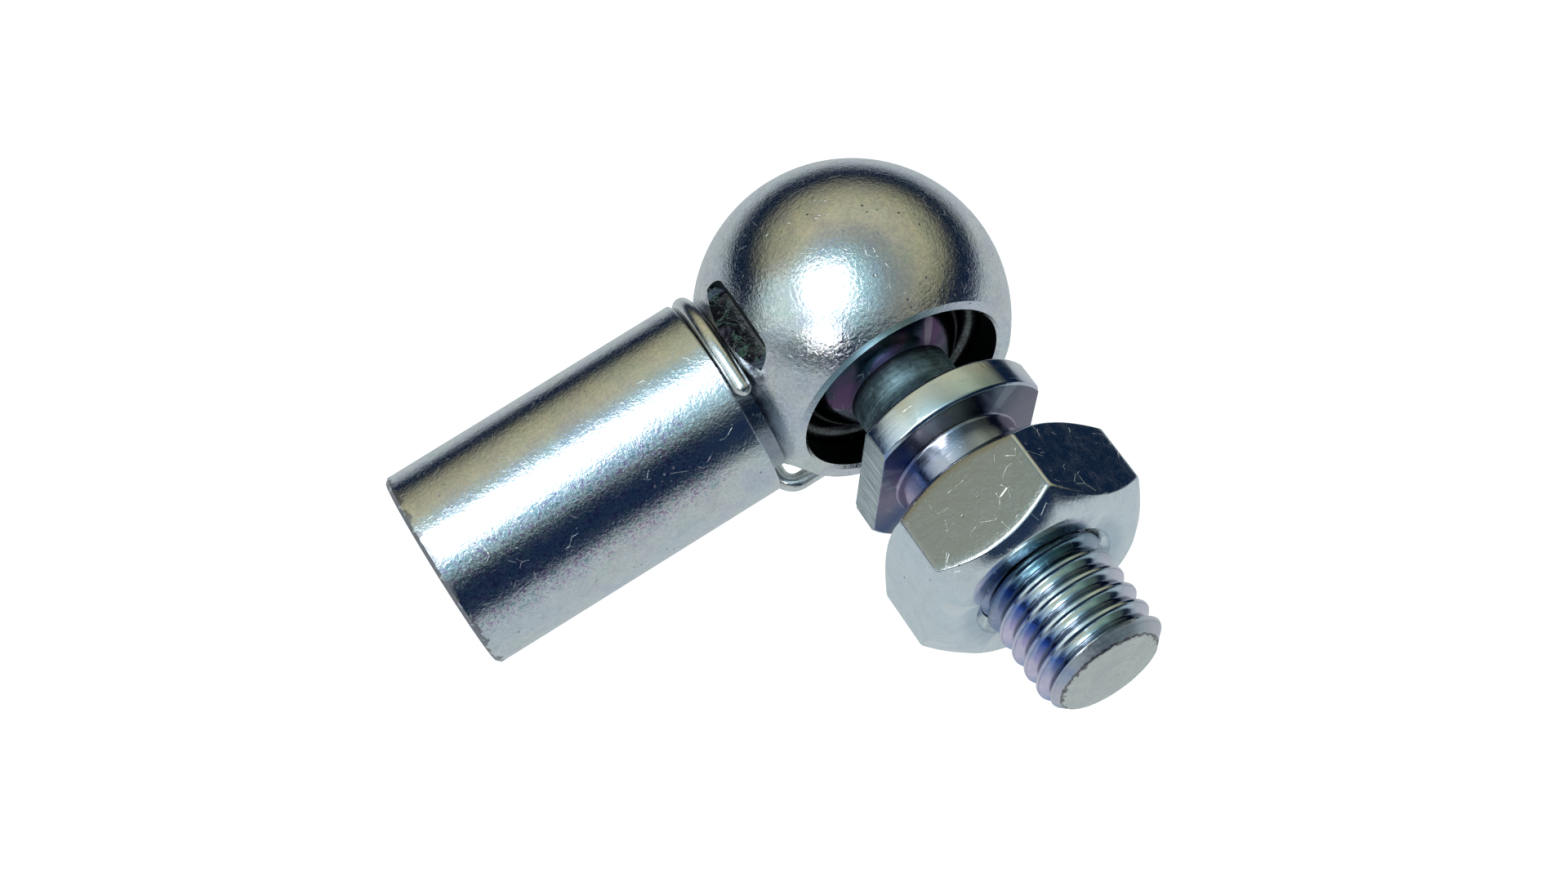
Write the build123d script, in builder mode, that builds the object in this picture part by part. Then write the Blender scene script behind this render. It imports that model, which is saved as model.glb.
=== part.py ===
from build123d import *
import os
from math import acos, asin, atan2, cos, degrees, hypot, radians, sin, sqrt, tan

os.makedirs("parts", exist_ok=True)

# Angle ball joint with a safety clip. Sizes in mm, angles in degrees.
# Origin: centre of the shank's threaded end face. +X points out of the threaded hole,
# +Z points along the stud at rest.
# "from the ball" means measured from the ball's centre, along +X or +Z.

# Overall sizes
rod_reach = 29.2  # ball centre to the shank's end face
stud_reach = 28.65  # ball centre to the stud's thread end
ball_d = 13.0
head_d = 19.5
shank_d = 13.0

# Fits
ball_clearance = 0.05  # radial, ball in socket and ball to snap ring
thread_clearance = 0.05  # radial, nut bore on the stud
wire_clearance = 0.12  # clip wire to what it lies against
nut_seat_gap = 0.05  # nut to the stud's shoulder

# Socket
mouth_height = 6.2  # mouth plane from the ball
mouth_bore_r = ball_d / 2 + 0.15
mouth_lead = 0.2  # chamfer inside the rim
seat_step = 0.3

# Snap ring and its groove
ring_wire_r = 0.6
ring_height = 3.5  # from the ball
ring_gap_angle = 16.0
ring_gap_azimuth = 205.0
ring_spread = 0.85  # room for the ring to open as the ball snaps in
ring_play = 0.08

# Safety clip
clip_wire_r = 0.575
clip_head_gap = 0.075  # wire to the round head
clip_shoulder_gap = 0.08  # wire to the shank's shoulder
clip_ring_r = 6.0
clip_free_angle = 168.0  # where the free end leaves the round part
clip_free_length = 2.0
clip_bend_r = 1.1
clip_leg_end = -2.2  # tip of the leg from the ball
clip_leg_lift = 0.2  # leg above the snap ring's plane

# Shank and neck
neck_clear = 0.1
neck_start = 7.2
shank_chamfer = 0.25
shoulder_chamfer = 0.12
rod_bore_r = 3.4  # wall of the tapped hole
rod_bore_depth = 16.0
rod_countersink = 0.65  # added to the hole's radius at its mouth
rod_countersink_angle = 120.0
drill_point_angle = 118.0

# Recesses in the head for the clip
free_recess_x = 7.0
free_recess_width = 1.8
free_recess_low = -2.6
free_recess_high = 2.3
free_recess_floor = 5.9
leg_hole_clear = 0.17
leg_hole_end = -3.4
leg_pocket_y = 3.0
leg_pocket_z = 5.3
leg_pocket_floor = 6.9
leg_pocket_r = 0.75

# Stud
neck_r = 3.3
neck_top = 7.3
flare_r = 4.7
flare_top = 9.2
collar_back = 9.8
collar_front = 12.0
collar_r = 6.55
collar_chamfer = 0.2
wrench_width = 10.6  # across the collar's flats
wrench_turn = -16.0
shoulder_r = 4.05
shoulder_top = 14.9
shoulder_edge = 0.06
thread_r = 3.95
thread_end_chamfer = 0.75
thread_end_dome = 0.45

# Nut
nut_width = 13.8  # across flats
nut_height = 6.5
nut_turn = 13.7  # direction of one corner
nut_face_share = 0.909  # washer face as a share of the width across flats
nut_back_angle = 35.0  # chamfer towards the collar
nut_front_angle = 43.0  # chamfer towards the thread's end
nut_countersink = 0.55

ball_r = ball_d / 2
head_r = head_d / 2
shank_r = shank_d / 2
ball_x = -rod_reach
ball_centre = (ball_x, 0, 0)
upright = Plane(origin=ball_centre, x_dir=(1, 0, 0), z_dir=(0, -1, 0))
stud_axis = Axis(ball_centre, (0, 0, 1))
lengthwise = Plane.XZ

ring_r = sqrt((ball_r + ring_wire_r + ball_clearance) ** 2 - ring_height**2)
groove_r = ring_r + ring_wire_r + ring_spread
groove_half = ring_wire_r + ring_play
seat_r = ball_r + ball_clearance
clip_x = sqrt((head_r + clip_wire_r + clip_head_gap) ** 2 - clip_ring_r**2)
shoulder_x = clip_x + clip_wire_r + clip_shoulder_gap
groove_floor_r = clip_ring_r - clip_wire_r - neck_clear
leg_y = ring_r + ring_wire_r + wire_clearance + clip_wire_r
leg_z = ring_height + clip_leg_lift
leg_hole_r = clip_wire_r + leg_hole_clear
nut_base = shoulder_top + nut_seat_gap
nut_bore_r = thread_r + thread_clearance


def around(radius, angle):
    """Point on a circle round the shank's axis, in the clip's plane."""
    return (ball_x + clip_x, radius * cos(radians(angle)), radius * sin(radians(angle)))


# Socket housing: round head, neck and threaded shank in one piece
with BuildPart() as socket_housing:
    with BuildSketch(upright):
        with BuildLine():
            rim_r = sqrt(head_r**2 - mouth_height**2)
            CenterArc((0, 0), head_r, -90, 90 + degrees(asin(mouth_height / head_r)))
            Line((rim_r, mouth_height), (0, mouth_height))
            Line((0, mouth_height), (0, -head_r))
        make_face()
    revolve(axis=stud_axis)

    with BuildSketch(lengthwise):
        with BuildLine():
            Polyline(
                (ball_x + neck_start, 0),
                (ball_x + neck_start, groove_floor_r),
                (ball_x + shoulder_x, groove_floor_r),
                (ball_x + shoulder_x, shank_r - shoulder_chamfer),
                (ball_x + shoulder_x + shoulder_chamfer, shank_r),
                (-shank_chamfer, shank_r),
                (0, shank_r - shank_chamfer),
                (0, 0),
                (ball_x + neck_start, 0),
            )
        make_face()
    revolve(axis=Axis.X)

    # ball seat and mouth
    with BuildSketch(upright):
        with BuildLine():
            CenterArc((0, 0), seat_r, -90, 90)
            Polyline(
                (seat_r, 0),
                (mouth_bore_r, seat_step),
                (mouth_bore_r, mouth_height - mouth_lead),
                (mouth_bore_r + mouth_lead, mouth_height),
                (mouth_bore_r + mouth_lead, head_r),
                (0, head_r),
                (0, -seat_r),
            )
        make_face()
    revolve(axis=stud_axis, mode=Mode.SUBTRACT)

    # snap ring groove
    with BuildSketch(upright):
        with Locations(((seat_r + groove_r) / 2, ring_height)):
            Rectangle(groove_r - seat_r, 2 * groove_half)
    revolve(axis=stud_axis, mode=Mode.SUBTRACT)

    # tapped hole with its drill point
    with BuildSketch(lengthwise):
        with BuildLine():
            drill_tip = rod_bore_r / tan(radians(drill_point_angle / 2))
            countersink_depth = rod_countersink / tan(radians(rod_countersink_angle / 2))
            Polyline(
                (0, 0),
                (0, rod_bore_r + rod_countersink),
                (-countersink_depth, rod_bore_r),
                (-rod_bore_depth, rod_bore_r),
                (-rod_bore_depth - drill_tip, 0),
                (0, 0),
            )
        make_face()
    revolve(axis=Axis.X, mode=Mode.SUBTRACT)

    # milled recess beside the clip's free end
    with BuildSketch(Plane.XZ.offset(free_recess_floor)):
        with Locations((ball_x + free_recess_x, (free_recess_low + free_recess_high) / 2)):
            SlotCenterToCenter(free_recess_high - free_recess_low, free_recess_width, rotation=90)
    extrude(amount=head_r, mode=Mode.SUBTRACT)

    # hole for the clip's locking leg, and the pocket it passes through
    with BuildSketch(Plane.YZ.offset(ball_x + leg_hole_end)):
        with Locations((leg_y, leg_z)):
            Circle(leg_hole_r)
    extrude(amount=clip_x - leg_hole_end, mode=Mode.SUBTRACT)
    with BuildSketch(Plane.YZ.offset(ball_x + leg_pocket_floor)):
        with Locations(((leg_pocket_y + leg_y) / 2, (leg_pocket_z + leg_z) / 2)):
            SlotCenterToCenter(
                hypot(leg_y - leg_pocket_y, leg_z - leg_pocket_z),
                2 * leg_pocket_r,
                rotation=degrees(atan2(leg_z - leg_pocket_z, leg_y - leg_pocket_y)),
            )
    extrude(amount=shoulder_x - leg_pocket_floor, mode=Mode.SUBTRACT)

# Ball stud: ball, neck, collar with wrench flats, shoulder and thread, turned in one piece
with BuildPart() as ball_stud:
    with BuildSketch(upright):
        with BuildLine():
            neck_base = sqrt(ball_r**2 - neck_r**2)
            end_r = thread_r - thread_end_chamfer
            dome_r = (end_r**2 + thread_end_dome**2) / (2 * thread_end_dome)
            dome_angle = degrees(asin(end_r / dome_r))
            CenterArc((0, 0), ball_r, -90, 90 + degrees(acos(neck_r / ball_r)))
            Line((neck_r, neck_base), (neck_r, neck_top))
            TangentArc((neck_r, neck_top), (flare_r, flare_top), tangent=(0, 1))
            Polyline(
                (flare_r, flare_top),
                (flare_r, collar_back),
                (collar_r - collar_chamfer, collar_back),
                (collar_r, collar_back + collar_chamfer),
                (collar_r, collar_front - collar_chamfer),
                (collar_r - collar_chamfer, collar_front),
                (shoulder_r, collar_front),
                (shoulder_r, shoulder_top - shoulder_edge),
                (shoulder_r - shoulder_edge, shoulder_top),
                (thread_r, shoulder_top),
                (thread_r, stud_reach - thread_end_dome - thread_end_chamfer),
                (end_r, stud_reach - thread_end_dome),
            )
            CenterArc((0, stud_reach - dome_r), dome_r, 90 - dome_angle, dome_angle)
            Line((0, stud_reach), (0, -ball_r))
        make_face()
    revolve(axis=stud_axis)

    with BuildSketch(Plane(origin=(ball_x, 0, collar_back), z_dir=(0, 0, 1))):
        with PolarLocations(wrench_width / 2 + collar_r / 2, 2, start_angle=wrench_turn):
            Rectangle(collar_r, 2 * collar_r)
    extrude(amount=collar_front - collar_back, mode=Mode.SUBTRACT)

# Hex nut, chamfered on both faces
with BuildPart() as hex_nut:
    nut_centre = Plane(origin=(ball_x, 0, nut_base), z_dir=(0, 0, 1))
    with BuildSketch(nut_centre):
        RegularPolygon(nut_width / 2, 6, major_radius=False, rotation=nut_turn)
    extrude(amount=nut_height)
    with BuildSketch(upright):
        with BuildLine():
            corner_r = nut_width / sqrt(3)
            face_r = nut_face_share * nut_width / 2
            back_drop = (corner_r - face_r) * tan(radians(nut_back_angle))
            front_drop = (corner_r - face_r) * tan(radians(nut_front_angle))
            Polyline(
                (0, nut_base),
                (face_r, nut_base),
                (corner_r, nut_base + back_drop),
                (corner_r, nut_base + nut_height - front_drop),
                (face_r, nut_base + nut_height),
                (0, nut_base + nut_height),
                (0, nut_base),
            )
        make_face()
    revolve(axis=stud_axis, mode=Mode.INTERSECT)
    with BuildSketch(upright):
        with BuildLine():
            Polyline(
                (0, nut_base),
                (nut_bore_r + nut_countersink, nut_base),
                (nut_bore_r, nut_base + nut_countersink),
                (nut_bore_r, nut_base + nut_height - nut_countersink),
                (nut_bore_r + nut_countersink, nut_base + nut_height),
                (0, nut_base + nut_height),
                (0, nut_base),
            )
        make_face()
    revolve(axis=stud_axis, mode=Mode.SUBTRACT)

# Snap ring: round wire, open at one point
with BuildPart() as snap_ring:
    ring_start = radians(ring_gap_azimuth + ring_gap_angle / 2)
    ring_plane = Plane(
        origin=ball_centre,
        x_dir=(cos(ring_start), sin(ring_start), 0),
        z_dir=(sin(ring_start), -cos(ring_start), 0),
    )
    with BuildSketch(ring_plane):
        with Locations((ring_r, ring_height)):
            Circle(ring_wire_r)
    revolve(axis=stud_axis, revolution_arc=360 - ring_gap_angle)

# Safety clip: open wire ring round the neck, with a straight leg that locks the snap ring
with BuildPart() as safety_clip:
    leg_radius = hypot(leg_y, leg_z)
    leave_angle = 360 + degrees(atan2(leg_z, leg_y) - acos(clip_ring_r / leg_radius))
    arm_length = sqrt(leg_radius**2 - clip_ring_r**2)
    leave = around(clip_ring_r, leave_angle)
    arm_y = -sin(radians(leave_angle))
    arm_z = cos(radians(leave_angle))
    bend_start = (
        ball_x + clip_x,
        leg_y - clip_bend_r * arm_y,
        leg_z - clip_bend_r * arm_z,
    )
    bend_end = (ball_x + clip_x - clip_bend_r, leg_y, leg_z)
    bend_in = clip_bend_r * (1 - sqrt(0.5))
    bend_middle = (
        ball_x + clip_x - bend_in,
        leg_y - bend_in * arm_y,
        leg_z - bend_in * arm_z,
    )
    free_start = around(clip_ring_r, clip_free_angle)
    free_y = sin(radians(clip_free_angle))
    free_z = -cos(radians(clip_free_angle))
    free_tip = (
        ball_x + clip_x,
        free_start[1] + clip_free_length * free_y,
        free_start[2] + clip_free_length * free_z,
    )
    leg_tip = (ball_x + clip_leg_end, leg_y, leg_z)
    with BuildLine() as clip_path:
        Line(free_tip, free_start)
        ThreePointArc(free_start, around(clip_ring_r, 270), leave)
        Line(leave, bend_start)
        ThreePointArc(bend_start, bend_middle, bend_end)
        Line(bend_end, leg_tip)
    with BuildSketch(Plane(origin=free_tip, z_dir=(0, -free_y, -free_z))):
        Circle(clip_wire_r)
    sweep(path=clip_path.wires()[0])
    with Locations(free_tip, leg_tip):
        Sphere(clip_wire_r)

socket_housing.part.label = "socket_housing"
ball_stud.part.label = "ball_stud"
hex_nut.part.label = "hex_nut"
snap_ring.part.label = "snap_ring"
safety_clip.part.label = "safety_clip"

export_step(socket_housing.part, "parts/socket_housing.step")
export_step(ball_stud.part, "parts/ball_stud.step")
export_step(hex_nut.part, "parts/hex_nut.step")
export_step(snap_ring.part, "parts/snap_ring.step")
export_step(safety_clip.part, "parts/safety_clip.step")
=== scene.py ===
import bmesh
import bpy
from math import acos, asin, atan2, ceil, cos, floor, hypot, pi, radians, sin, sqrt, tan
from mathutils import Matrix, Vector


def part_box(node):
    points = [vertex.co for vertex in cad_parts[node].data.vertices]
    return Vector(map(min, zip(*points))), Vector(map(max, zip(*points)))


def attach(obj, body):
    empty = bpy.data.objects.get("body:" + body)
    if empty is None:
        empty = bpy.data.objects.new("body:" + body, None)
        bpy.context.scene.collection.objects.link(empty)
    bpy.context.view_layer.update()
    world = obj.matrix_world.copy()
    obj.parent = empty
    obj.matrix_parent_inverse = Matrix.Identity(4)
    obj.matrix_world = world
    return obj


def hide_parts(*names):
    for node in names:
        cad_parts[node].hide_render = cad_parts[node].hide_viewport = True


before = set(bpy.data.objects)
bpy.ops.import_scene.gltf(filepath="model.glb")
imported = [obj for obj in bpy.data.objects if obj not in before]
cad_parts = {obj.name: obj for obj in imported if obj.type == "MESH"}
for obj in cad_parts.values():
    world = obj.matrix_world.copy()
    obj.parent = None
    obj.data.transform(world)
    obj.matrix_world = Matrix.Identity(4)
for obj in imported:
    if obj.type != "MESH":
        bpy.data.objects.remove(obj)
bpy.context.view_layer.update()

MM = 0.001
# the camera's right, up and back axes, as columns; light and sky are aimed in them
CAMERA_AXES = Matrix((
    (-0.845799, -0.526002, 0.089143),
    (0.184900, -0.445748, -0.875854),
    (0.500436, -0.724314, 0.474271),
))

# ---------------------------------------------------------------- places from the frame (mm)
stud_low, stud_high = (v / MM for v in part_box("ball_stud"))
nut_low, nut_high = (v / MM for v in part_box("hex_nut"))
ring_low, ring_high = (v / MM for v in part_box("snap_ring"))
clip_low, clip_high = (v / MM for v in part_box("safety_clip"))
housing_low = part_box("socket_housing")[0] / MM
ball_r = -stud_low.z
ball_x = (stud_low.x + stud_high.x) / 2
head_r = ball_x - housing_low.x
stud_top = stud_high.z
nut_base = nut_low.z
nut_top = nut_high.z

# ---------------------------------------------------------------- sizes (mm, degrees)
# M8 thread: crest radius, depth, the nut's clearance, and the height of a crest at angle 0
PITCH = 1.25
THREAD_R = 3.95
THREAD_DEPTH = 0.62
THREAD_GAP = 0.05
PHASE = 0.528
STEPS_PER_PITCH = 16

# stud, with heights from the ball's centre
NECK_R, FLARE_R = 3.3, 4.7
NECK_TOP, FLARE_TOP = 7.3, 9.2
COLLAR_BACK, COLLAR_FRONT, COLLAR_R, COLLAR_EDGE = 9.8, 12.0, 6.55, 0.2
SHOULDER_R, SHOULDER_TOP, SHOULDER_EDGE = 4.05, 14.9, 0.06
FLAT, FLAT_EDGE = 5.3, 0.10
WRENCH_TURN = -16.0
DOME, END_CHAMFER, END_DIMPLE = 0.45, 0.75, 0.07
thread_end = stud_top - DOME

# nut
NUT_TURN = 13.7
APOTHEM = 6.9
FACE_R = 0.909 * APOTHEM
BACK_CHAMFER, FRONT_CHAMFER = 35, 43
BACK_ROUND, FRONT_ROUND = 0.09, 0.16
SINK = 0.55

# housing: tapped hole, socket, and the recess beside the clip's free end
BORE_R, BORE_SINK_R, BORE_DEPTH = 3.4, 4.05, 16.0
SOCKET_R, MOUTH_Z = 7.75, 6.05
RECESS_FLOOR, RECESS_BACK, RECESS_FRONT, RECESS_HALF = 5.9, 5.9, 8.1, 3.8

# wires
GAP_MIDDLE, GAP_HALF = 205, 8
CLIP_WIRE_R, CLIP_R, CLIP_BEND = 0.575, 6.0, 1.1
CLIP_FREE_END = 168


# ---------------------------------------------------------------- mesh helpers
def new_object(name, bm, body, material, node=None):
    """A smooth-shaded piece from a bmesh in millimetres, riding on a body."""
    mesh = bpy.data.meshes.new(name)
    bmesh.ops.scale(bm, vec=(MM, MM, MM), verts=bm.verts)
    bmesh.ops.recalc_face_normals(bm, faces=bm.faces)
    bm.to_mesh(mesh)
    bm.free()
    mesh.shade_smooth()
    mesh.set_sharp_from_angle(angle=radians(34))
    mesh.materials.append(material)
    obj = bpy.data.objects.new(name, mesh)
    bpy.context.scene.collection.objects.link(obj)
    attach(obj, body)
    if node:
        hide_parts(node)


def fillet(points, corners):
    """Replace a profile's listed corners {index: radius} by short arcs."""
    out = []
    for i, p in enumerate(points):
        if i not in corners:
            out.append(p)
            continue
        here = Vector(p)
        a = Vector(points[i - 1]) - here
        b = Vector(points[i + 1]) - here
        reach = min(corners[i], a.length * 0.45, b.length * 0.45)
        start = here + a.normalized() * reach
        end = here + b.normalized() * reach
        for k in range(5):
            t = k / 4
            q = start * (1 - t) ** 2 + here * 2 * t * (1 - t) + end * t ** 2
            out.append((q.x, q.y))
    return out


def skin(bm, rows):
    """Quads between neighbouring rows of vertices; each row runs once round."""
    for low, high in zip(rows, rows[1:]):
        n = len(low)
        for i in range(n):
            k = (i + 1) % n
            if len({low[i], low[k], high[k], high[i]}) == 4:
                bm.faces.new((low[i], low[k], high[k], high[i]))


def fan(bm, row, point, flip=False):
    """Triangles from a closed row to one point."""
    tip = bm.verts.new(point)
    n = len(row)
    for i in range(n):
        ring = (row[i], row[(i + 1) % n], tip)
        bm.faces.new(ring[::-1] if flip else ring)


def helix_wall(bm, angles, z0, z1, phase, radius, place):
    """A threaded wall: its columns slide with the helix, so crests lie along edges.
    radius(u, z, angle) gives the wall; u is the place in the pitch, 0 on a crest."""
    turns = ceil((z1 - z0) / PITCH) + 2
    start = z0 - PITCH * 1.5
    start = phase + floor((start - phase) / PITCH) * PITCH
    count = STEPS_PER_PITCH * (turns + 1)
    grid = []
    for angle in angles:
        column = []
        for j in range(count + 1):
            z = start + PITCH * (j / STEPS_PER_PITCH + angle / (2 * pi))
            z = min(max(z, z0), z1)
            u = ((z - phase) / PITCH - angle / (2 * pi)) % 1.0
            u = u - 1 if u > 0.5 else u
            r = radius(u, z, angle)
            column.append(bm.verts.new(place(r, angle, z)))
        grid.append(column)
    for i in range(len(angles)):
        last = i == len(angles) - 1
        a, b = grid[i], grid[0 if last else i + 1]
        shift = STEPS_PER_PITCH if last else 0
        for j in range(count):
            k = j + shift
            if k + 1 > count:
                continue
            bm.faces.new((a[j], b[k], b[k + 1], a[j + 1]))


def cut_flank(u):
    """How deep the thread is at place u in the pitch: 0 on the crest, 1 at the root."""
    t = min(max((abs(u) - 0.06) / 0.40, 0.0), 1.0)
    return 0.3 * t + 0.7 * (0.5 - 0.5 * cos(pi * t))


def weld(bm):
    """Join vertices that coincide and drop the empty faces that leaves."""
    bmesh.ops.remove_doubles(bm, verts=bm.verts, dist=1e-4)
    bmesh.ops.dissolve_degenerate(bm, dist=1e-5, edges=bm.edges)


def ease(t):
    """0 to 1 with a smooth start and end."""
    t = min(max(t, 0.0), 1.0)
    return t * t * (3 - 2 * t)


def upright(r, angle, z):
    """A point round the stud's axis."""
    return (ball_x + r * cos(angle), r * sin(angle), z)


def tube(bm, path, radius, domed=True, sides=28):
    """Round wire along a path of points, with domed or cut ends."""
    path = [Vector(p) for p in path]
    tangents = []
    for i in range(len(path)):
        a = path[max(i - 1, 0)]
        b = path[min(i + 1, len(path) - 1)]
        tangents.append((b - a).normalized())
    side = tangents[0].orthogonal().normalized()
    rows = []

    def section(centre, tangent, r):
        nonlocal side
        side = (side - tangent * side.dot(tangent)).normalized()
        other = tangent.cross(side)
        row = []
        for s in range(sides):
            a = 2 * pi * s / sides
            q = centre + (side * cos(a) + other * sin(a)) * r
            row.append(bm.verts.new(q))
        return row

    cap = [radians(a) for a in (80, 65, 50, 35, 18)] if domed else []
    first, last = tangents[0] * radius, tangents[-1] * radius
    for a in cap:
        rows.append(section(path[0] - first * sin(a), tangents[0], radius * cos(a)))
    for p, t in zip(path, tangents):
        rows.append(section(p, t, radius))
    for a in reversed(cap):
        rows.append(section(path[-1] + last * sin(a), tangents[-1], radius * cos(a)))
    skin(bm, rows)
    fan(bm, rows[0], path[0] - first * domed, flip=True)
    fan(bm, rows[-1], path[-1] + last * domed)


# ---------------------------------------------------------------- materials
def fill_ramp(ramp, stops):
    """Give a colour ramp its (position, colour) stops."""
    while len(ramp.elements) < len(stops):
        ramp.elements.new(0.5)
    for e, (position, colour) in zip(ramp.elements, stops):
        e.position = position
        e.color = (*colour, 1)


class Nodes:
    """Short calls for building one material's node tree, in millimetres of object space."""

    def __init__(self, name):
        self.material = bpy.data.materials.new(name)
        self.material.use_nodes = True
        self.tree = self.material.node_tree
        self.tree.nodes.clear()
        self.out = self.tree.nodes.new("ShaderNodeOutputMaterial")
        self.shader = self.tree.nodes.new("ShaderNodeBsdfPrincipled")
        self.link(self.shader.outputs[0], self.out.inputs["Surface"])
        coord = self.tree.nodes.new("ShaderNodeTexCoord")
        self.place = self.scaled(coord.outputs["Object"], (1000, 1000, 1000))

    def link(self, a, b):
        self.tree.links.new(a, b)

    def set(self, socket, value):
        if hasattr(value, "is_linked"):
            self.link(value, socket)
        else:
            socket.default_value = value

    def scaled(self, vector, scale, shift=(0, 0, 0)):
        n = self.tree.nodes.new("ShaderNodeMapping")
        self.link(vector, n.inputs["Vector"])
        n.inputs["Scale"].default_value = scale
        n.inputs["Location"].default_value = shift
        return n.outputs[0]

    def moved(self, x, y, z):
        """Object space moved aside, so that two patterns don't coincide."""
        return self.scaled(self.place, (1, 1, 1), (x, y, z))

    def noise(self, scale, detail=2.0, rough=0.5, vector=None, distortion=0.0):
        n = self.tree.nodes.new("ShaderNodeTexNoise")
        self.link(vector or self.place, n.inputs["Vector"])
        n.inputs["Scale"].default_value = scale
        n.inputs["Detail"].default_value = detail
        n.inputs["Roughness"].default_value = rough
        n.inputs["Distortion"].default_value = distortion
        return n.outputs["Fac"]

    def cells(self, scale, vector=None, feature="F1"):
        n = self.tree.nodes.new("ShaderNodeTexVoronoi")
        n.feature = feature
        self.link(vector or self.place, n.inputs["Vector"])
        n.inputs["Scale"].default_value = scale
        return n.outputs["Distance"]

    def band(self, value, low, high, to_low=0.0, to_high=1.0, smooth=True):
        """The value from low to high, taken to to_low up to to_high."""
        n = self.tree.nodes.new("ShaderNodeMapRange")
        n.interpolation_type = "SMOOTHSTEP" if smooth else "LINEAR"
        self.link(value, n.inputs["Value"])
        n.inputs["From Min"].default_value = low
        n.inputs["From Max"].default_value = high
        n.inputs["To Min"].default_value = to_low
        n.inputs["To Max"].default_value = to_high
        return n.outputs["Result"]

    def between(self, value, low, high, soft):
        """1 from low to high, falling to 0 within soft of either end."""
        rise = self.band(value, low - soft, low)
        return self.math("MULTIPLY", rise, self.band(value, high, high + soft, 1.0, 0.0))

    def math(self, kind, a, b=0.0):
        n = self.tree.nodes.new("ShaderNodeMath")
        n.operation = kind
        self.set(n.inputs[0], a)
        self.set(n.inputs[1], b)
        return n.outputs[0]

    def times(self, a, b):
        return self.math("MULTIPLY", a, b)

    def plus(self, a, b):
        return self.math("ADD", a, b)

    def minus(self, a, b):
        return self.math("SUBTRACT", a, b)

    def swayed(self, value, noise, reach):
        """The value moved to and fro by a noise, for ragged edges."""
        return self.plus(value, self.times(self.minus(noise, 0.5), reach))

    def mix(self, factor, a, b, kind="MIX"):
        n = self.tree.nodes.new("ShaderNodeMix")
        n.data_type = "RGBA"
        n.blend_type = kind
        self.set(n.inputs["Factor"], factor)
        self.set(n.inputs["A"], a if hasattr(a, "is_linked") else (*a, 1))
        self.set(n.inputs["B"], b if hasattr(b, "is_linked") else (*b, 1))
        return n.outputs["Result"]

    def tinted(self, factor, colour, film):
        """The colour multiplied by a film's colour."""
        return self.mix(factor, colour, film, "MULTIPLY")

    def vector(self, kind, a, result="Vector"):
        n = self.tree.nodes.new("ShaderNodeVectorMath")
        n.operation = kind
        self.link(a, n.inputs[0])
        return n.outputs[result]

    def along(self, vector, direction):
        """How far the vector reaches in a fixed direction."""
        n = self.tree.nodes.new("ShaderNodeVectorMath")
        n.operation = "DOT_PRODUCT"
        self.link(vector, n.inputs[0])
        n.inputs[1].default_value = direction
        return n.outputs["Value"]

    def ramp(self, value, stops):
        n = self.tree.nodes.new("ShaderNodeValToRGB")
        self.link(value, n.inputs["Fac"])
        fill_ramp(n.color_ramp, stops)
        return n.outputs["Color"]

    def split(self, vector):
        n = self.tree.nodes.new("ShaderNodeSeparateXYZ")
        self.link(vector, n.inputs[0])
        return n.outputs

    def bump(self, height, distance):
        n = self.tree.nodes.new("ShaderNodeBump")
        self.link(height, n.inputs["Height"])
        n.inputs["Distance"].default_value = distance
        n.inputs["Strength"].default_value = 1.0
        return n.outputs[0]

    def edges(self, low, high):
        """Where the mesh is sharp: above 0.5 on ridges, below it in hollows."""
        n = self.tree.nodes.new("ShaderNodeNewGeometry")
        return self.band(n.outputs["Pointiness"], low, high)


# cloudy passivation film
TINTS = [
    (0.30, (0.60, 0.66, 0.80)),
    (0.42, (0.72, 0.80, 0.86)),
    (0.52, (0.80, 0.83, 0.80)),
    (0.62, (0.84, 0.82, 0.73)),
    (0.74, (0.78, 0.72, 0.84)),
]

# passivation colours and painted dark reflection bands round the stud, by the cosine of the angle
# from one side
FILM_AND_REFLECTION_BANDS = [
    (0.00, (0.76, 0.70, 0.84)),
    (0.10, (0.70, 0.66, 0.78)),
    (0.17, (0.56, 0.60, 0.70)),
    (0.25, (0.50, 0.63, 0.74)),
    (0.345, (0.26, 0.38, 0.48)),
    (0.45, (0.48, 0.66, 0.72)),
    (0.66, (0.84, 0.90, 0.92)),
    (0.75, (0.86, 0.90, 0.92)),
    (0.835, (0.50, 0.60, 0.74)),
    (0.905, (0.07, 0.20, 0.62)),
    (0.955, (0.40, 0.46, 0.74)),
    (1.00, (0.78, 0.68, 0.90)),
]


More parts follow.
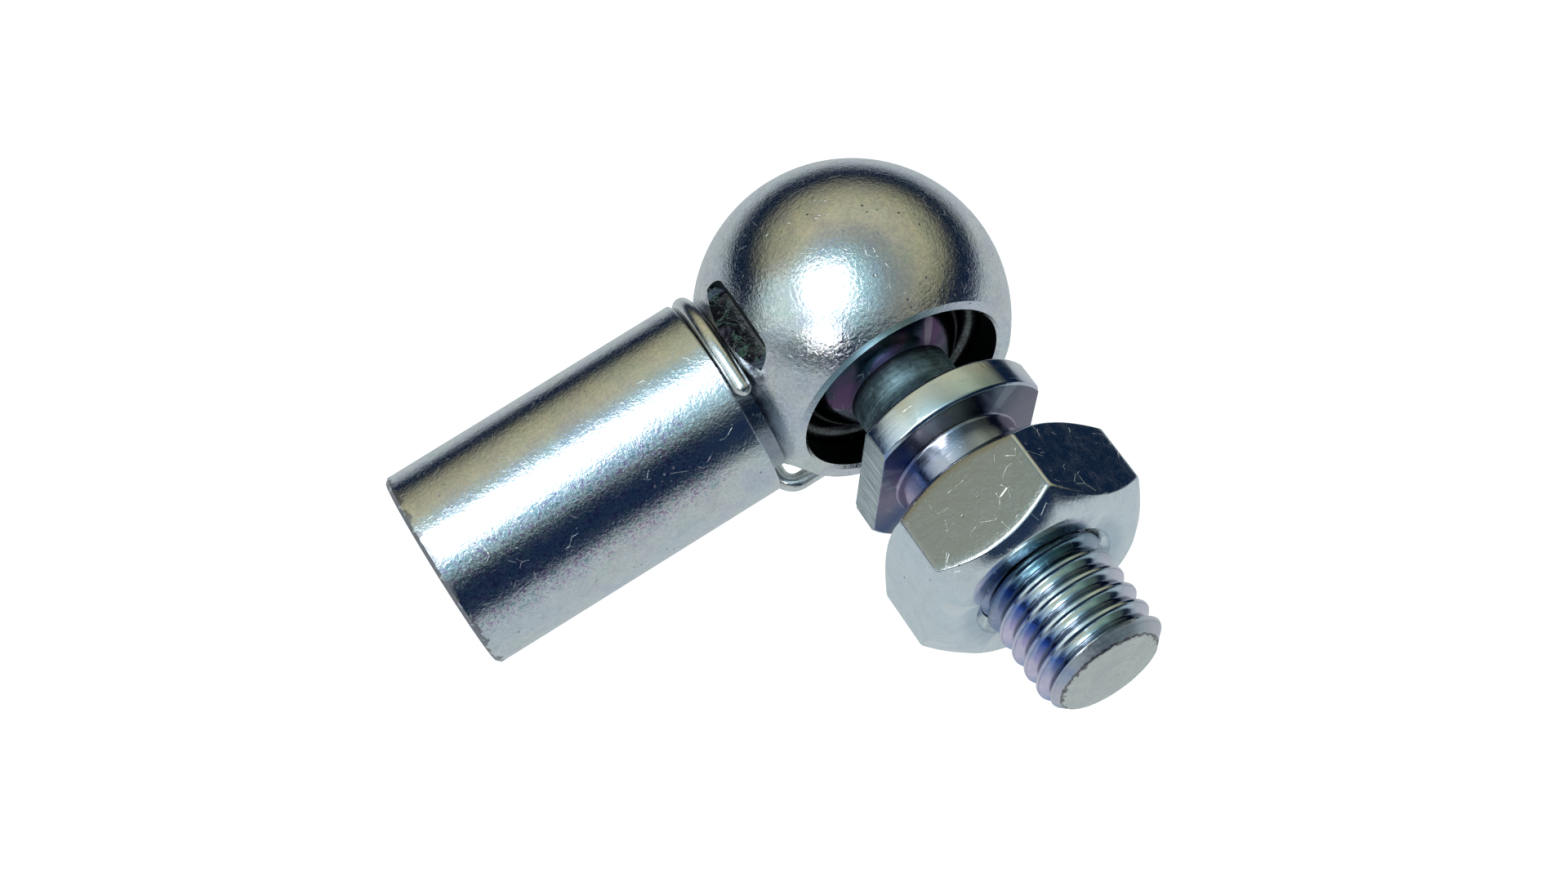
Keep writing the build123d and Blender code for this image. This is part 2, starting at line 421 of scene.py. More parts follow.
def zinc(name, rough, grain, tint, pits, scratches, tone=(0.80, 0.84, 0.86),
         turned=0.0, violet=0.0, relief=12, dents=0.0, worn=0.55, finish=None):
    """Bright zinc plate with a thin blue passivation: cloudy tint, fine grain, pits, scratches.
    relief is the depth of the grain in micrometres; finish adds what one piece alone has."""
    m = Nodes(name)
    s = m.shader
    s.inputs["Metallic"].default_value = 1.0
    clouds = m.noise(0.16, detail=4.0, rough=0.6, distortion=0.6)
    film = m.ramp(clouds, TINTS)
    colour = m.mix(tint, tone, film)
    speck = m.noise(5.0, detail=3.0, rough=0.7)
    blotch = m.noise(1.1, detail=3.0, rough=0.6)
    colour = m.tinted(m.band(speck, 0.30, 0.72, 0.30 * grain, 0.0), colour, (0.42, 0.48, 0.58))
    colour = m.tinted(m.band(blotch, 0.25, 0.60, 0.22, 0.0), colour, (0.55, 0.58, 0.66))
    if violet:
        patch = m.noise(0.33, detail=2.0, distortion=1.2, vector=m.moved(7.3, 1.9, 4.4))
        colour = m.tinted(m.band(patch, 0.46, 0.66, 0.0, violet), colour, (0.58, 0.50, 0.92))
        colour = m.tinted(m.band(patch, 0.44, 0.34, 0.0, violet), colour, (0.55, 0.86, 0.74))
    holes = m.cells(1.35, vector=m.moved(2.7, 0.4, 1.1))
    where = m.noise(0.30, detail=1.0, vector=m.moved(9.1, 3.3, 5.7))
    pit = m.times(m.band(holes, 0.13, 0.05), m.band(where, 0.50, 0.62, 0.0, pits))
    colour = m.mix(pit, colour, (0.05, 0.055, 0.07))
    lines = None
    for scale, shift in ((0.27, (4.1, 0.7, 2.9)), (0.41, (1.3, 5.2, 0.4)), (0.66, (7.7, 2.2, 6.1))):
        edge = m.cells(scale, vector=m.moved(*shift), feature="DISTANCE_TO_EDGE")
        gate = m.noise(0.75, detail=2.0, vector=m.moved(*shift[::-1]))
        thin = m.times(m.band(edge, 0.018 * scale, 0.006 * scale), m.band(gate, 0.60, 0.66))
        lines = thin if lines is None else m.math("MAXIMUM", lines, thin)
    lines = m.times(lines, scratches)
    dull = 0.0
    if finish:
        colour, dull = finish(m, colour, blotch)
    wear = m.edges(0.515, 0.56)
    colour = m.mix(m.times(wear, worn), colour, (0.93, 0.94, 0.93))
    # painted shade: darker in the mesh's hollows
    hollow_shade = m.edges(0.485, 0.44)
    colour = m.mix(m.times(hollow_shade, 0.6), colour, (0.10, 0.12, 0.17))
    colour = m.mix(m.times(lines, 0.7), colour, (0.95, 0.96, 0.95))
    m.link(colour, s.inputs["Base Color"])
    roughness = m.plus(m.band(speck, 0.25, 0.75, 0.07, -0.04),
                       m.band(blotch, 0.3, 0.7, rough + 0.05, rough - 0.03))
    roughness = m.plus(roughness, m.times(pit, 0.3))
    roughness = m.plus(roughness, m.times(lines, 0.12))
    roughness = m.plus(roughness, dull)
    m.link(roughness, s.inputs["Roughness"])
    height = m.times(speck, grain)
    height = m.plus(height, m.times(blotch, 0.8 * grain))
    height = m.minus(height, pit)
    height = m.minus(height, m.times(lines, 0.8))
    if dents:
        dent = m.noise(3.6, detail=3.0, rough=0.75, vector=m.moved(0.9, 6.3, 3.8))
        dent = m.band(dent, 0.40, 0.62)
        height = m.minus(height, m.times(dent, dents))
    if turned:
        rings = m.noise(1.0, detail=3.0, rough=0.7, vector=m.scaled(m.place, (0.25, 0.25, 14.0)))
        height = m.plus(height, m.times(rings, turned))
    m.link(m.bump(height, relief * 1e-6), s.inputs["Normal"])
    return m.material


def about_stud(m):
    """The way out from the stud's axis, its length, and the height."""
    x, y, z = m.split(m.place)
    across = m.tree.nodes.new("ShaderNodeCombineXYZ")
    m.link(m.minus(x, ball_x), across.inputs[0])
    m.link(y, across.inputs[1])
    across = across.outputs[0]
    return across, m.vector("LENGTH", across, "Value"), z


def heading(degree):
    """The direction across the stud at an angle."""
    return (cos(radians(degree)), sin(radians(degree)), 0)


def stud_finish(m, colour, blotch):
    """Dark turned neck; ball painted dark as shade in the socket, with violet patches; brushed
    flats darkened as painted shade; thread with iridescent film, painted dark reflection bands and
    painted shade in its roots; painted shade on the collar face, the shoulder and beside the nut;
    dull end face.
    """
    across, reach, z = about_stud(m)
    side = m.along(m.vector("NORMALIZE", across), heading(-12))
    side = m.swayed(side, blotch, 0.12)
    # passivation film colours with painted dark reflection bands, over the collar, shoulder and
    # thread
    film_and_reflection = m.ramp(m.band(side, -1, 1, smooth=False), FILM_AND_REFLECTION_BANDS)
    colour = m.mix(m.band(z, 9.5, COLLAR_FRONT + 0.1, 0.15, 0.90), colour, film_and_reflection)
    # painted shade on the shoulder between collar and nut, slightly violet
    shoulder_shade = m.between(z, COLLAR_FRONT + 0.05, SHOULDER_TOP + 0.1, 0.1)
    colour = m.tinted(shoulder_shade, colour, (0.66, 0.60, 0.66))
    # painted shade on the collar's front face, which faces the nut
    face = m.between(z, COLLAR_FRONT - 0.03, COLLAR_FRONT + 0.02, 0.03)
    colour = m.tinted(face, colour, (0.34, 0.34, 0.37))
    # the collar's two brushed wrench flats: brushed streaks, darkened overall as painted shade
    flat_out = m.math("ABSOLUTE", m.along(across, heading(WRENCH_TURN)))
    flat = m.times(m.band(flat_out, FLAT - 0.08, FLAT - 0.03),
                   m.between(z, COLLAR_BACK + 0.05, COLLAR_FRONT - 0.07, 0.03))
    brush = m.noise(1.0, detail=3.0, rough=0.7, vector=m.scaled(m.place, (9.0, 9.0, 0.5)))
    brushed_and_shaded = m.mix(m.band(brush, 0.35, 0.65), (0.24, 0.29, 0.31), (0.62, 0.68, 0.70))
    colour = m.mix(flat, colour, brushed_and_shaded)
    # thread: painted shade in the roots and in thin lines beside the worn crests
    x, y, _ = m.split(across)
    turn = m.math("DIVIDE", m.math("ARCTAN2", y, x), 2 * pi)
    pitch = m.minus(m.math("DIVIDE", m.minus(z, PHASE), PITCH), turn)
    place = m.math("ABSOLUTE", m.minus(m.math("FRACT", pitch), 0.5))  # 0 at a root, 0.5 on a crest
    threaded = m.between(z, SHOULDER_TOP + 0.7, thread_end - 0.6, 0.4)
    root_shade = m.times(m.band(place, 0.17, 0.05), threaded)
    colour = m.tinted(m.times(root_shade, 0.9), colour, (0.14, 0.17, 0.24))
    ragged = m.swayed(place, m.noise(3.0), 0.05)
    # painted shade: a thin dark line beside each crest
    crest_shade_line = m.times(m.between(ragged, 0.385, 0.405, 0.015), threaded)
    colour = m.tinted(m.times(crest_shade_line, 0.5), colour, (0.30, 0.32, 0.36))
    crest = m.times(m.band(ragged, 0.43, 0.47), threaded)
    colour = m.mix(m.times(crest, 0.35), colour, (0.84, 0.85, 0.84))
    # painted dark reflection of the nut on the thread beside it
    nut_reflection_shade = m.between(z, nut_top - 0.65, nut_top + 0.75, 0.9)
    colour = m.tinted(nut_reflection_shade, colour, (0.46, 0.58, 0.63))
    # the end: faint turning rings on a dull face
    rings = m.noise(1.0, detail=3.0, rough=0.6, vector=m.scaled(reach, (5, 5, 5)))
    end = m.mix(m.band(rings, 0.35, 0.65), (0.66, 0.68, 0.63), (0.86, 0.87, 0.82))
    end = m.mix(m.band(blotch, 0.35, 0.60, 0.25, 0.0), end, (0.45, 0.46, 0.50))
    colour = m.mix(m.band(z, thread_end - 0.15, thread_end), colour, end)
    chamfer_base = thread_end - END_CHAMFER
    chamfer = m.band(z, chamfer_base - 0.10, chamfer_base + 0.20)
    colour = m.mix(m.times(chamfer, 0.45), colour, (0.66, 0.67, 0.66))
    jag = m.swayed(z, m.noise(2.6, detail=4.0), 0.28)
    rim = m.between(jag, thread_end - 0.07, thread_end, 0.03)
    colour = m.mix(m.times(rim, 0.8), colour, (0.10, 0.09, 0.11))
    # the neck, and the ball painted near black as shade inside the socket, with violet patches
    streaks = m.noise(1.0, detail=4.0, rough=0.7, vector=m.scaled(m.place, (0.3, 0.3, 11.0)))
    neck = m.mix(m.band(streaks, 0.35, 0.65), (0.34, 0.52, 0.60), (0.66, 0.92, 0.98))
    colour = m.mix(m.band(z, FLARE_TOP + 0.3, FLARE_TOP), colour, neck)
    # painted shade: the ball near black inside the socket, with violet patches
    ball = m.noise(0.35, detail=2.0, distortion=0.8, vector=m.moved(1.2, 6.1, 2.2))
    violet = m.mix(m.band(ball, 0.46, 0.64), (0.03, 0.05, 0.07), (0.11, 0.06, 0.13))
    colour = m.mix(m.band(z, 6.2, 5.6), colour, violet)
    dull = m.times(m.between(z, 5.6, 9.4, 0.3), 0.26)
    dull = m.plus(dull, m.times(chamfer, 0.26))
    return colour, m.plus(dull, m.times(flat, 0.14))


def nut_finish(m, colour, blotch):
    """One flat darkened by a painted reflection; the front face given painted blue shade beside the
    thread.
    """
    across, reach, z = about_stud(m)
    # painted reflection: one flat darkened
    out = m.along(across, heading(NUT_TURN + 270))
    colour = m.tinted(m.band(out, APOTHEM - 0.04, APOTHEM - 0.015), colour, (0.46, 0.41, 0.35))
    # painted shade: the front face darker and bluer beside the thread
    inner = m.times(m.band(reach, 5.9, 4.4), m.band(z, nut_top - 0.25, nut_top - 0.05))
    colour = m.tinted(m.times(inner, 0.6), colour, (0.36, 0.48, 0.62))
    return colour, 0.0


def housing_finish(m, colour, blotch):
    """A dark, ragged edge at the threaded end, and fine blue and violet flecks."""
    x = m.split(m.place)["X"]
    flecks = m.noise(2.6, detail=4.0, rough=0.8, vector=m.moved(3.1, 8.2, 0.7))
    shank = m.band(m.along(m.place, (0, -0.64, 0.77)), 5.7, 6.25)
    shank = m.times(shank, m.band(x, ball_x + 11, ball_x + 13, 0.0, 0.85))
    shank = m.plus(shank, 0.15)
    colour = m.tinted(m.times(m.band(flecks, 0.52, 0.58), shank), colour, (0.52, 0.34, 0.62))
    colour = m.tinted(m.times(m.band(flecks, 0.47, 0.41), shank), colour, (0.34, 0.52, 0.60))
    ragged = m.swayed(x, m.noise(1.9, detail=4.0), 1.7)
    end = m.times(m.band(ragged, -0.40, -0.28), m.band(x, -0.85, -0.40))
    colour = m.mix(m.times(end, 0.85), colour, (0.12, 0.11, 0.15))
    return colour, m.times(end, 0.25)


def recess_finish(m, colour, blotch):
    """Hollow painted nearly black as shade, mottled, with green and pale burrs."""
    mottle = m.noise(0.9, detail=4.0, rough=0.6, distortion=0.6)
    # painted shade: the recess nearly black
    colour = m.mix(m.band(mottle, 0.50, 0.60), (0.008, 0.008, 0.012), (0.07, 0.065, 0.09))
    green = m.noise(0.8, detail=3.0, distortion=1.5, vector=m.moved(2.2, 7.1, 3.3))
    colour = m.mix(m.between(green, 0.54, 0.56, 0.02), colour, (0.05, 0.10, 0.075))
    burr = m.band(m.math("ABSOLUTE", m.minus(mottle, 0.465)), 0.010, 0.004)
    return m.mix(m.times(burr, 0.25), colour, (0.40, 0.44, 0.44)), 0.1


def spring_steel(name, rough=0.2, shade=1.0):
    """Drawn spring wire, finely speckled, with darker spots; shade darkens it."""
    m = Nodes(name)
    s = m.shader
    s.inputs["Metallic"].default_value = 1.0
    speck = m.noise(6.0, detail=3.0, rough=0.7)
    blotch = m.noise(0.8, detail=3.0, rough=0.6)
    low, high = ([c * shade for c in tone] for tone in ((0.74, 0.75, 0.72), (0.86, 0.88, 0.88)))
    colour = m.mix(m.band(blotch, 0.35, 0.65), low, high)
    colour = m.mix(m.band(speck, 0.28, 0.55, 0.5, 0.0), colour, (0.35, 0.38, 0.42))
    m.link(colour, s.inputs["Base Color"])
    m.link(m.band(blotch, 0.3, 0.7, rough + 0.10, rough), s.inputs["Roughness"])
    m.link(m.bump(speck, 10e-6), s.inputs["Normal"])
    return m.material


# painted shade: the socket's inside nearly black
shaded_socket_zinc = zinc("shaded_socket_zinc", rough=0.5, grain=1.0, tint=0.0, pits=0.3, scratches=0.0,
                   tone=(0.006, 0.009, 0.011), worn=0.0)
recess_zinc = zinc("recess_zinc", rough=0.30, grain=1.5, tint=0.0, pits=1.0, scratches=0.0,
                   relief=60, worn=0.3, finish=recess_finish)
housing_zinc = zinc("housing_zinc", rough=0.11, grain=1.2, tint=0.45, pits=0.9, scratches=0.5,
                    tone=(0.84, 0.85, 0.84), violet=0.18, relief=15, dents=0.22, worn=0.15,
                    finish=housing_finish)
bore_zinc = zinc("bore_zinc", rough=0.30, grain=0.8, tint=0.4, pits=0.3, scratches=0.0,
                 tone=(0.62, 0.65, 0.68))
stud_zinc = zinc("stud_zinc", rough=0.12, grain=0.45, tint=0.6, pits=0.4, scratches=0.3,
                 tone=(0.84, 0.85, 0.84), turned=0.4, worn=0.12, finish=stud_finish)
nut_zinc = zinc("nut_zinc", rough=0.13, grain=0.4, tint=0.15, pits=0.9, scratches=1.0,
                tone=(0.83, 0.89, 0.93), dents=0.12, finish=nut_finish)
spring_wire = spring_steel("spring_wire_steel", shade=0.10)
clip_wire = spring_steel("clip_wire_steel", rough=0.16)

# ---------------------------------------------------------------- socket housing
# The shell keeps the CAD node's form; its plain tapped wall gives way to a real thread.
bm = bmesh.new()
bm.from_mesh(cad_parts["socket_housing"].data)


def lies_on_tapped_wall(face):
    reach = [hypot(v.co.y, v.co.z) / MM for v in face.verts]
    deepest = min(v.co.x / MM for v in face.verts)
    return (min(reach) > BORE_R - 0.02 and max(reach) < BORE_SINK_R + 0.01
            and deepest > -BORE_DEPTH - 0.01)


def lies_in_socket(points):
    return all(p.length < head_r - 0.15 and hypot(p.x, p.y) < SOCKET_R and p.z < MOUTH_Z
               for p in points)


def lies_in_recess(points):
    on_floor = all(abs(p.y + RECESS_FLOOR) < 0.02 for p in points)
    below_skin = min(p.length for p in points) < head_r - 0.03
    return (on_floor or below_skin) and all(
        p.y < -RECESS_FLOOR + 0.05 and RECESS_BACK < p.x < RECESS_FRONT and abs(p.z) < RECESS_HALF
        for p in points)


def lies_in_drill_point(face):
    return (all(hypot(v.co.y, v.co.z) / MM < BORE_R + 0.05 for v in face.verts)
            and face.calc_center_median().x / MM < -15)


wall = [f for f in bm.faces if lies_on_tapped_wall(f)]
bmesh.ops.delete(bm, geom=wall, context="FACES")
PLAIN, SOCKET, RECESS, BORE = range(4)
for f in bm.faces:
    points = [v.co / MM - Vector((ball_x, 0, 0)) for v in f.verts]
    f.material_index = (SOCKET if lies_in_socket(points) else RECESS if lies_in_recess(points)
                        else BORE if lies_in_drill_point(f) else PLAIN)
housing_mesh = bpy.data.meshes.new("housing_shell")
bm.to_mesh(housing_mesh)
bm.free()
for material in (housing_zinc, shaded_socket_zinc, recess_zinc, bore_zinc):
    housing_mesh.materials.append(material)
housing = bpy.data.objects.new("housing_shell", housing_mesh)
bpy.context.scene.collection.objects.link(housing)
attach(housing, "housing")
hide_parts("socket_housing")


def bore_thread(u, z, angle):
    """The tapped wall's radius: a groove that runs out at the bottom, and the countersink."""
    groove = BORE_R + THREAD_DEPTH * (1 - cut_flank(u)) * ease((BORE_DEPTH - z) / 1.5)
    return max(groove, BORE_SINK_R - z * tan(radians(60)))


bm = bmesh.new()
columns = 120
helix_wall(bm, [2 * pi * i / columns for i in range(columns)], 0.0, BORE_DEPTH, 0.3, bore_thread,
           lambda r, angle, z: (-z, r * sin(angle), r * cos(angle)))
weld(bm)
new_object("tapped_wall", bm, "housing", bore_zinc)

# ---------------------------------------------------------------- ball stud
columns = 180
angles = [radians(WRENCH_TURN) + 2 * pi * i / columns for i in range(columns)]
neck_start = asin(NECK_R / ball_r)
profile = []
for k in range(1, 61):
    a = pi - (pi - neck_start) * k / 60
    profile.append((ball_r * sin(a), ball_r * cos(a)))
profile.append((NECK_R, NECK_TOP))
flare_z, flare_w = FLARE_TOP - NECK_TOP, FLARE_R - NECK_R
flare_radius = (flare_w ** 2 + flare_z ** 2) / (2 * flare_w)
for k in range(1, 9):
    z = flare_z * k / 8
    profile.append((NECK_R + flare_radius - sqrt(flare_radius ** 2 - z ** 2), NECK_TOP + z))
base = len(profile)
profile += [
    (FLARE_R, COLLAR_BACK),
    (COLLAR_R - COLLAR_EDGE, COLLAR_BACK),
    (COLLAR_R, COLLAR_BACK + COLLAR_EDGE),
    (COLLAR_R, COLLAR_FRONT - COLLAR_EDGE),
    (COLLAR_R - COLLAR_EDGE, COLLAR_FRONT),
    (SHOULDER_R, COLLAR_FRONT),
    (SHOULDER_R, SHOULDER_TOP - SHOULDER_EDGE),
    (SHOULDER_R - SHOULDER_EDGE, SHOULDER_TOP),
    (THREAD_R, SHOULDER_TOP),
]
collar_corners = {base + k: 0.08 for k in range(1, 5)}
profile = fillet(profile, {**collar_corners, base + 5: 0.25})


def stud_point(r, angle, z):
    """A point on the stud, cut back to the two wrench flats across the collar."""
    if COLLAR_BACK - 1e-6 <= z <= COLLAR_FRONT + 1e-6 and r > 4.8:
        near = min(z - COLLAR_BACK, COLLAR_FRONT - z)
        rise = max(FLAT_EDGE - max(near, 0.0), 0.0)
        lip = FLAT_EDGE - sqrt(FLAT_EDGE ** 2 - rise ** 2)
        off = (angle - radians(WRENCH_TURN)) % pi
        off = min(off, pi - off)
        r = min(r, (FLAT - lip) / max(cos(off), 1e-3))
    return upright(r, angle, z)


bm = bmesh.new()
rows = [[bm.verts.new(stud_point(r, a, z)) for a in angles] for r, z in profile]
skin(bm, rows)
fan(bm, rows[0], (ball_x, 0, -ball_r), flip=True)
end_r = THREAD_R - END_CHAMFER


def stud_thread(u, z, angle):
    """The thread's radius, running out at the shoulder and cut by the end chamfer."""
    depth = THREAD_DEPTH * ease((z - SHOULDER_TOP) / 1.2) * ease((thread_end - z) / 0.4)
    r = THREAD_R - depth * cut_flank(u)
    rim = THREAD_R - max(0.0, z - (thread_end - END_CHAMFER))
    return min(r, rim)


helix_wall(bm, angles, SHOULDER_TOP, thread_end, PHASE, stud_thread, upright)
dome_radius = (end_r ** 2 + DOME ** 2) / (2 * DOME)
dome_rows = []
for k in range(25):
    r = end_r * (1 - k / 25)
    z = stud_top - dome_radius + sqrt(dome_radius ** 2 - r ** 2)
    z -= END_DIMPLE * ease((0.75 - r) / 0.35)
    dome_rows.append([bm.verts.new(upright(r, a, z)) for a in angles])
skin(bm, dome_rows)
fan(bm, dome_rows[-1], (ball_x, 0, stud_top - END_DIMPLE))
weld(bm)
new_object("stud_turned", bm, "stud", stud_zinc, "ball_stud")

# ---------------------------------------------------------------- hex nut
bore_r = THREAD_R + THREAD_GAP
# columns in degrees from a corner, close together beside each corner
offsets = [0, 0.25, 0.55, 0.9, 1.4, 2.2] + [3.2 + 2.36 * k for k in range(11)]
offsets = sorted({round(o, 3) for o in offsets + [60 - o for o in offsets if o > 0]})
nut_turn = radians(NUT_TURN)
nut_angles = [nut_turn + radians(60 * k + o) for k in range(6) for o in offsets if o < 60]


def hex_radius(angle):
    """A hexagon whose corners are rounded by a high power."""
    power = 90
    total = sum(max(0.0, cos(angle - nut_turn - radians(30 + 60 * k))) ** power for k in range(6))
    return APOTHEM / total ** (1 / power)


def nut_half(r, chamfer, rounding):
    """One end of the nut's outer wall: face, chamfer cone and the rounded edge of a flat."""
    corner = Vector((r, (r - FACE_R) * tan(chamfer)))
    inner = Vector((FACE_R, 0.0))
    flank = Vector((0, 1))
    cone = Vector((-cos(chamfer), -sin(chamfer)))
    w = min(rounding, (corner - inner).length * 0.4)
    start, end = corner + cone * w, corner + flank * w
    half = [Vector((bore_r + SINK, 0.0)), Vector((FACE_R - 0.9, 0.0)), inner + Vector((-0.06, 0.0)),
            inner - cone * 0.06, start]
    for t in (0.25, 0.5, 0.75):
        half.append(start * (1 - t) ** 2 + corner * 2 * t * (1 - t) + end * t ** 2)
    return half + [end, corner + flank * (w + 0.4)]


def nut_profile(angle):
    """Outer wall from the lower face's countersink to the upper one's, for one column."""
    r = hex_radius(angle)
    lower = [(p.x, nut_base + p.y) for p in nut_half(r, radians(BACK_CHAMFER), BACK_ROUND)]
    front = nut_half(r, radians(FRONT_CHAMFER), FRONT_ROUND)
    upper = [(p.x, nut_top - p.y) for p in reversed(front)]
    return lower + [(r, (nut_base + nut_top) / 2)] + upper


def nut_thread(u, z, angle):
    """The nut's threaded wall, opened by a countersink at either face."""
    r = bore_r - THREAD_DEPTH * cut_flank(u)
    cone = bore_r + SINK - min(z - nut_base, nut_top - z)
    return max(r, cone)


bm = bmesh.new()
profiles = [nut_profile(a) for a in nut_angles]
rows = [[bm.verts.new(upright(*(p[j][0], a, p[j][1]))) for p, a in zip(profiles, nut_angles)]
        for j in range(len(profiles[0]))]
skin(bm, rows)
helix_wall(bm, nut_angles, nut_base, nut_top, PHASE, nut_thread, upright)
weld(bm)
new_object("nut_forged", bm, "nut", nut_zinc, "hex_nut")

# ---------------------------------------------------------------- snap ring
ring_wire = (ring_high.z - ring_low.z) / 2
ring_z = (ring_high.z + ring_low.z) / 2
ring_r = sqrt((ball_r + ring_wire + 0.05) ** 2 - ring_z ** 2)
first, sweep = radians(GAP_MIDDLE + GAP_HALF), radians(360 - 2 * GAP_HALF)
path = [upright(ring_r, first + sweep * k / 150, ring_z) for k in range(151)]
bm = bmesh.new()
tube(bm, path, ring_wire, domed=False)
new_object("snap_ring_wire", bm, "ring", spring_wire, "snap_ring")

# ---------------------------------------------------------------- safety clip
clip_x = clip_high.x - CLIP_WIRE_R
leg_x = clip_low.x + CLIP_WIRE_R
leg_y, leg_z = ring_r + ring_wire + 0.12 + CLIP_WIRE_R, ring_z + 0.2
# the ring is left on the tangent that reaches the leg
leave = 2 * pi + atan2(leg_z, leg_y) - acos(CLIP_R / hypot(leg_y, leg_z))
free = radians(CLIP_FREE_END)
arm = Vector((0, -sin(leave), cos(leave)))
tip_dir = Vector((0, sin(free), -cos(free)))


def on_clip(angle):
    return Vector((clip_x, CLIP_R * cos(angle), CLIP_R * sin(angle)))


path = [on_clip(free) + tip_dir * (2.0 - 0.25 * k) for k in range(8)]
path += [on_clip(free + (leave - free) * k / 120) for k in range(121)]
bend_start = Vector((clip_x, leg_y, leg_z)) - arm * CLIP_BEND
run = (bend_start - on_clip(leave)).length
path += [on_clip(leave) + arm * run * k / 6 for k in range(1, 7)]
for k in range(1, 17):
    a = pi / 2 * k / 16
    path.append(bend_start + arm * CLIP_BEND * sin(a) + Vector((-CLIP_BEND * (1 - cos(a)), 0, 0)))
end = Vector((leg_x, leg_y, leg_z))
start = path[-1]
path += [start + (end - start) * k / 16 for k in range(1, 17)]
bm = bmesh.new()
tube(bm, path, CLIP_WIRE_R)
new_object("clip_wire_bent", bm, "housing", clip_wire, "safety_clip")

# ---------------------------------------------------------------- floor, light and camera
FLOOR_HALF, FLOOR_Z = 3.0, -0.12
floor_mesh = bpy.data.meshes.new("floor")
floor_mesh.from_pydata([(x * FLOOR_HALF, y * FLOOR_HALF, FLOOR_Z)
                        for x, y in ((-1, -1), (1, -1), (1, 1), (-1, 1))], [], [(0, 1, 2, 3)])
floor_obj = bpy.data.objects.new("floor", floor_mesh)
bpy.context.scene.collection.objects.link(floor_obj)
floor_material = bpy.data.materials.new("floor_white")
floor_material.use_nodes = True
shader = floor_material.node_tree.nodes["Principled BSDF"]
shader.inputs["Base Color"].default_value = (0.92, 0.92, 0.92, 1)
shader.inputs["Roughness"].default_value = 0.9
shader.inputs["Emission Color"].default_value = (1, 1, 1, 1)
shader.inputs["Emission Strength"].default_value = 0.8
floor_mesh.materials.append(floor_material)
floor_obj.visible_glossy = False

centre = Vector((ball_x * 0.6, 0, stud_top * 0.4)) * MM


def soft_light(name, direction, distance, width, height, power, colour):
    """A soft panel aimed at the object; direction is in the camera's right, up, back axes."""
    data = bpy.data.lights.new(name, "AREA")
    data.shape = "RECTANGLE"
    data.size, data.size_y = width, height
    data.energy = power
    data.color = colour
    obj = bpy.data.objects.new(name, data)
    bpy.context.scene.collection.objects.link(obj)
    away = (CAMERA_AXES @ Vector(direction)).normalized()
    across = CAMERA_AXES @ Vector((1, 0, 0))
    across = (across - away * across.dot(away)).normalized()
    up = away.cross(across)
    obj.matrix_world = Matrix.Translation(centre + away * distance) @ Matrix(
        (across, up, away)).transposed().to_4x4()
    obj.visible_camera = False


soft_light("window", (-0.31, 0.33, 0.88), 0.6, 0.26, 0.27, 1.5, (0.93, 0.98, 1.0))
soft_light("window_low", (-0.347, -0.223, 0.91), 0.6, 0.18, 0.10, 0.35, (0.97, 0.98, 1.0))

world = bpy.data.worlds.new("studio")
bpy.context.scene.world = world
world.use_nodes = True
tree = world.node_tree
tree.nodes.clear()
nodes, links = tree.nodes, tree.links
coord = nodes.new("ShaderNodeTexCoord")


def toward(direction):
    """The cosine between the view into the world and a direction in the camera's axes."""
    n = nodes.new("ShaderNodeVectorMath")
    n.operation = "DOT_PRODUCT"
    links.new(coord.outputs["Generated"], n.inputs[0])
    n.inputs[1].default_value = (CAMERA_AXES @ Vector(direction)).normalized()
    return n.outputs["Value"]


def world_range(value, low, high):
    n = nodes.new("ShaderNodeMapRange")
    n.interpolation_type = "SMOOTHSTEP"
    links.new(value, n.inputs["Value"])
    n.inputs["From Min"].default_value = low
    n.inputs["From Max"].default_value = high
    return n.outputs["Result"]


# from the floor's reflection, over a dark horizon, to a warm pale ceiling
SKY = [
    (-1.0, (0.52, 0.58, 0.60)),
    (-0.12, (0.52, 0.57, 0.58)),
    (0.01, (0.44, 0.49, 0.52)),
    (0.05, (0.004, 0.014, 0.038)),
    (0.40, (0.004, 0.014, 0.038)),
    (0.465, (0.16, 0.16, 0.125)),
    (0.58, (0.36, 0.345, 0.235)),
    (0.74, (0.48, 0.455, 0.30)),
    (0.86, (0.58, 0.56, 0.40)),
    (1.0, (0.58, 0.58, 0.44)),
]
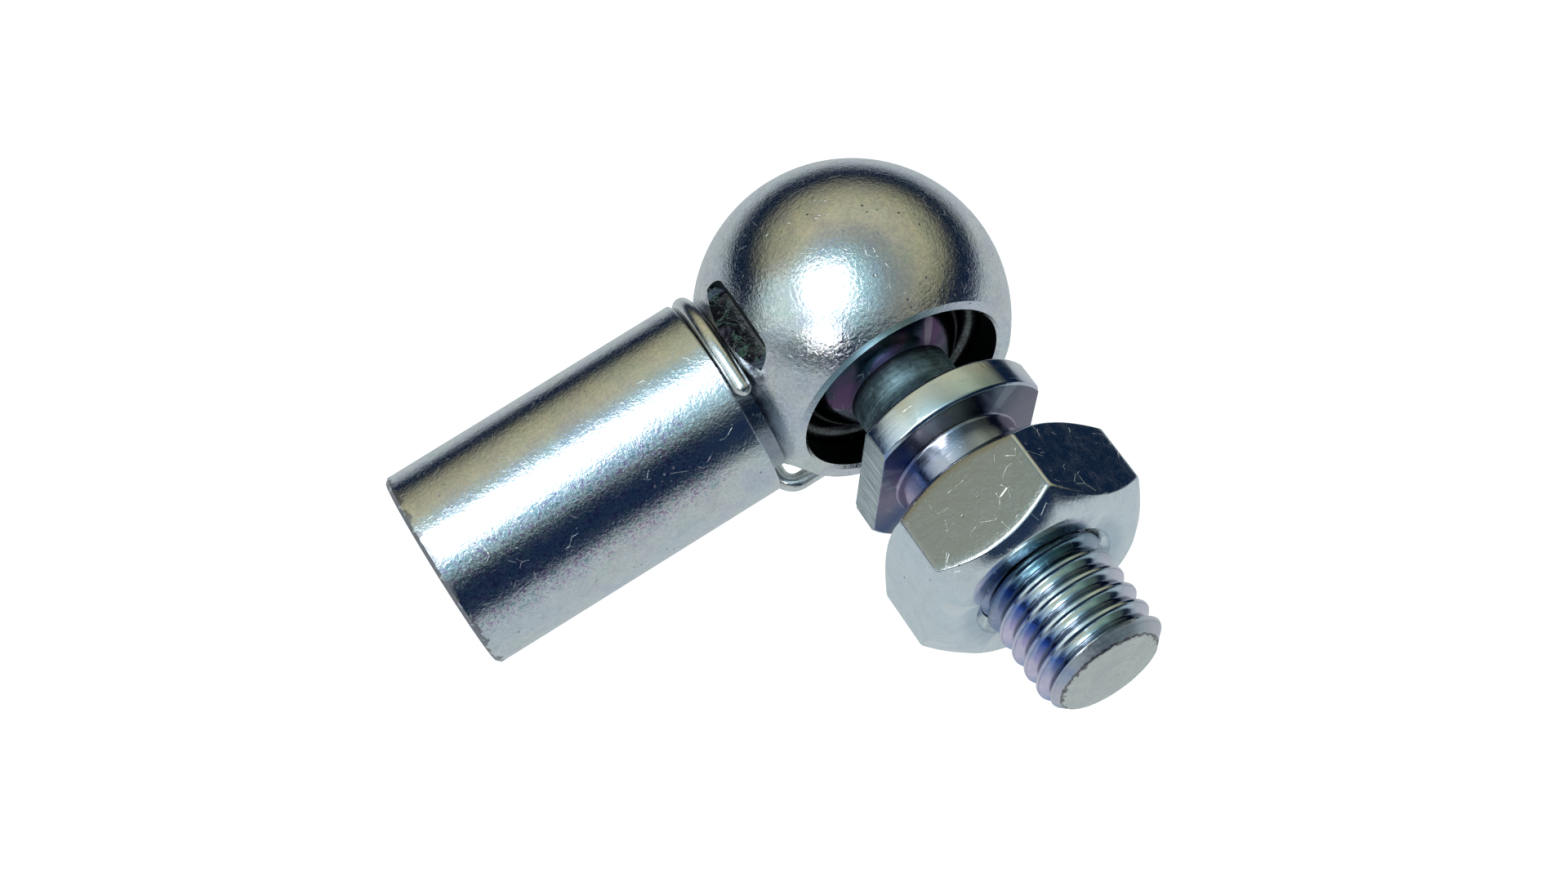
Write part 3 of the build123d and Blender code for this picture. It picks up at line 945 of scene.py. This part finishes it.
# soft patches of the room: direction, cosines where it starts and is full, colour
PATCHES = [
    ((0.10, 0.45, 0.89), 0.70, 0.93, (0.27, 0.32, 0.31)),
    ((-0.74, 0.12, 0.66), 0.87, 0.97, (0.80, 0.92, 0.92)),
    ((-0.24, 0.31, 0.92), 0.78, 0.95, (0.50, 0.80, 0.95)),
    ((0.42, -0.52, 0.74), 0.85, 0.945, (0.014, 0.030, 0.068)),
]
rise = nodes.new("ShaderNodeMapRange")
links.new(toward((0, 0.755, 0.654)), rise.inputs["Value"])
rise.inputs["From Min"].default_value = -1
rise.inputs["From Max"].default_value = 1
ramp = nodes.new("ShaderNodeValToRGB")
links.new(rise.outputs["Result"], ramp.inputs["Fac"])
fill_ramp(ramp.color_ramp, [((s + 1) / 2, colour) for s, colour in SKY])


def patch(below, direction, low, high, colour):
    """The world so far, with one soft patch of colour over it."""
    n = nodes.new("ShaderNodeMix")
    n.data_type = "RGBA"
    links.new(world_range(toward(direction), low, high), n.inputs["Factor"])
    links.new(below, n.inputs["A"])
    n.inputs["B"].default_value = (*colour, 1)
    return n.outputs["Result"]


room = ramp.outputs["Color"]
for direction, low, high, colour in PATCHES:
    room = patch(room, direction, low, high, colour)
# plain white behind the object
seen = nodes.new("ShaderNodeLightPath")
plain = nodes.new("ShaderNodeMix")
plain.data_type = "RGBA"
links.new(seen.outputs["Is Camera Ray"], plain.inputs["Factor"])
links.new(room, plain.inputs["A"])
plain.inputs["B"].default_value = (1, 1, 1, 1)
background = nodes.new("ShaderNodeBackground")
links.new(plain.outputs["Result"], background.inputs["Color"])
output = nodes.new("ShaderNodeOutputWorld")
links.new(background.outputs[0], output.inputs["Surface"])

camera_data = bpy.data.cameras.new("camera")
CAMERA_PLACE = Vector((-7.765, -135.105, 77.912)) * MM
camera_data.lens = 59.10
camera_data.sensor_width = 36
camera_data.clip_start = 0.005
camera = bpy.data.objects.new("camera", camera_data)
bpy.context.scene.collection.objects.link(camera)
camera.matrix_world = Matrix.Translation(CAMERA_PLACE) @ CAMERA_AXES.to_4x4()
bpy.context.scene.camera = camera
bpy.context.scene.view_settings.view_transform = "Standard"
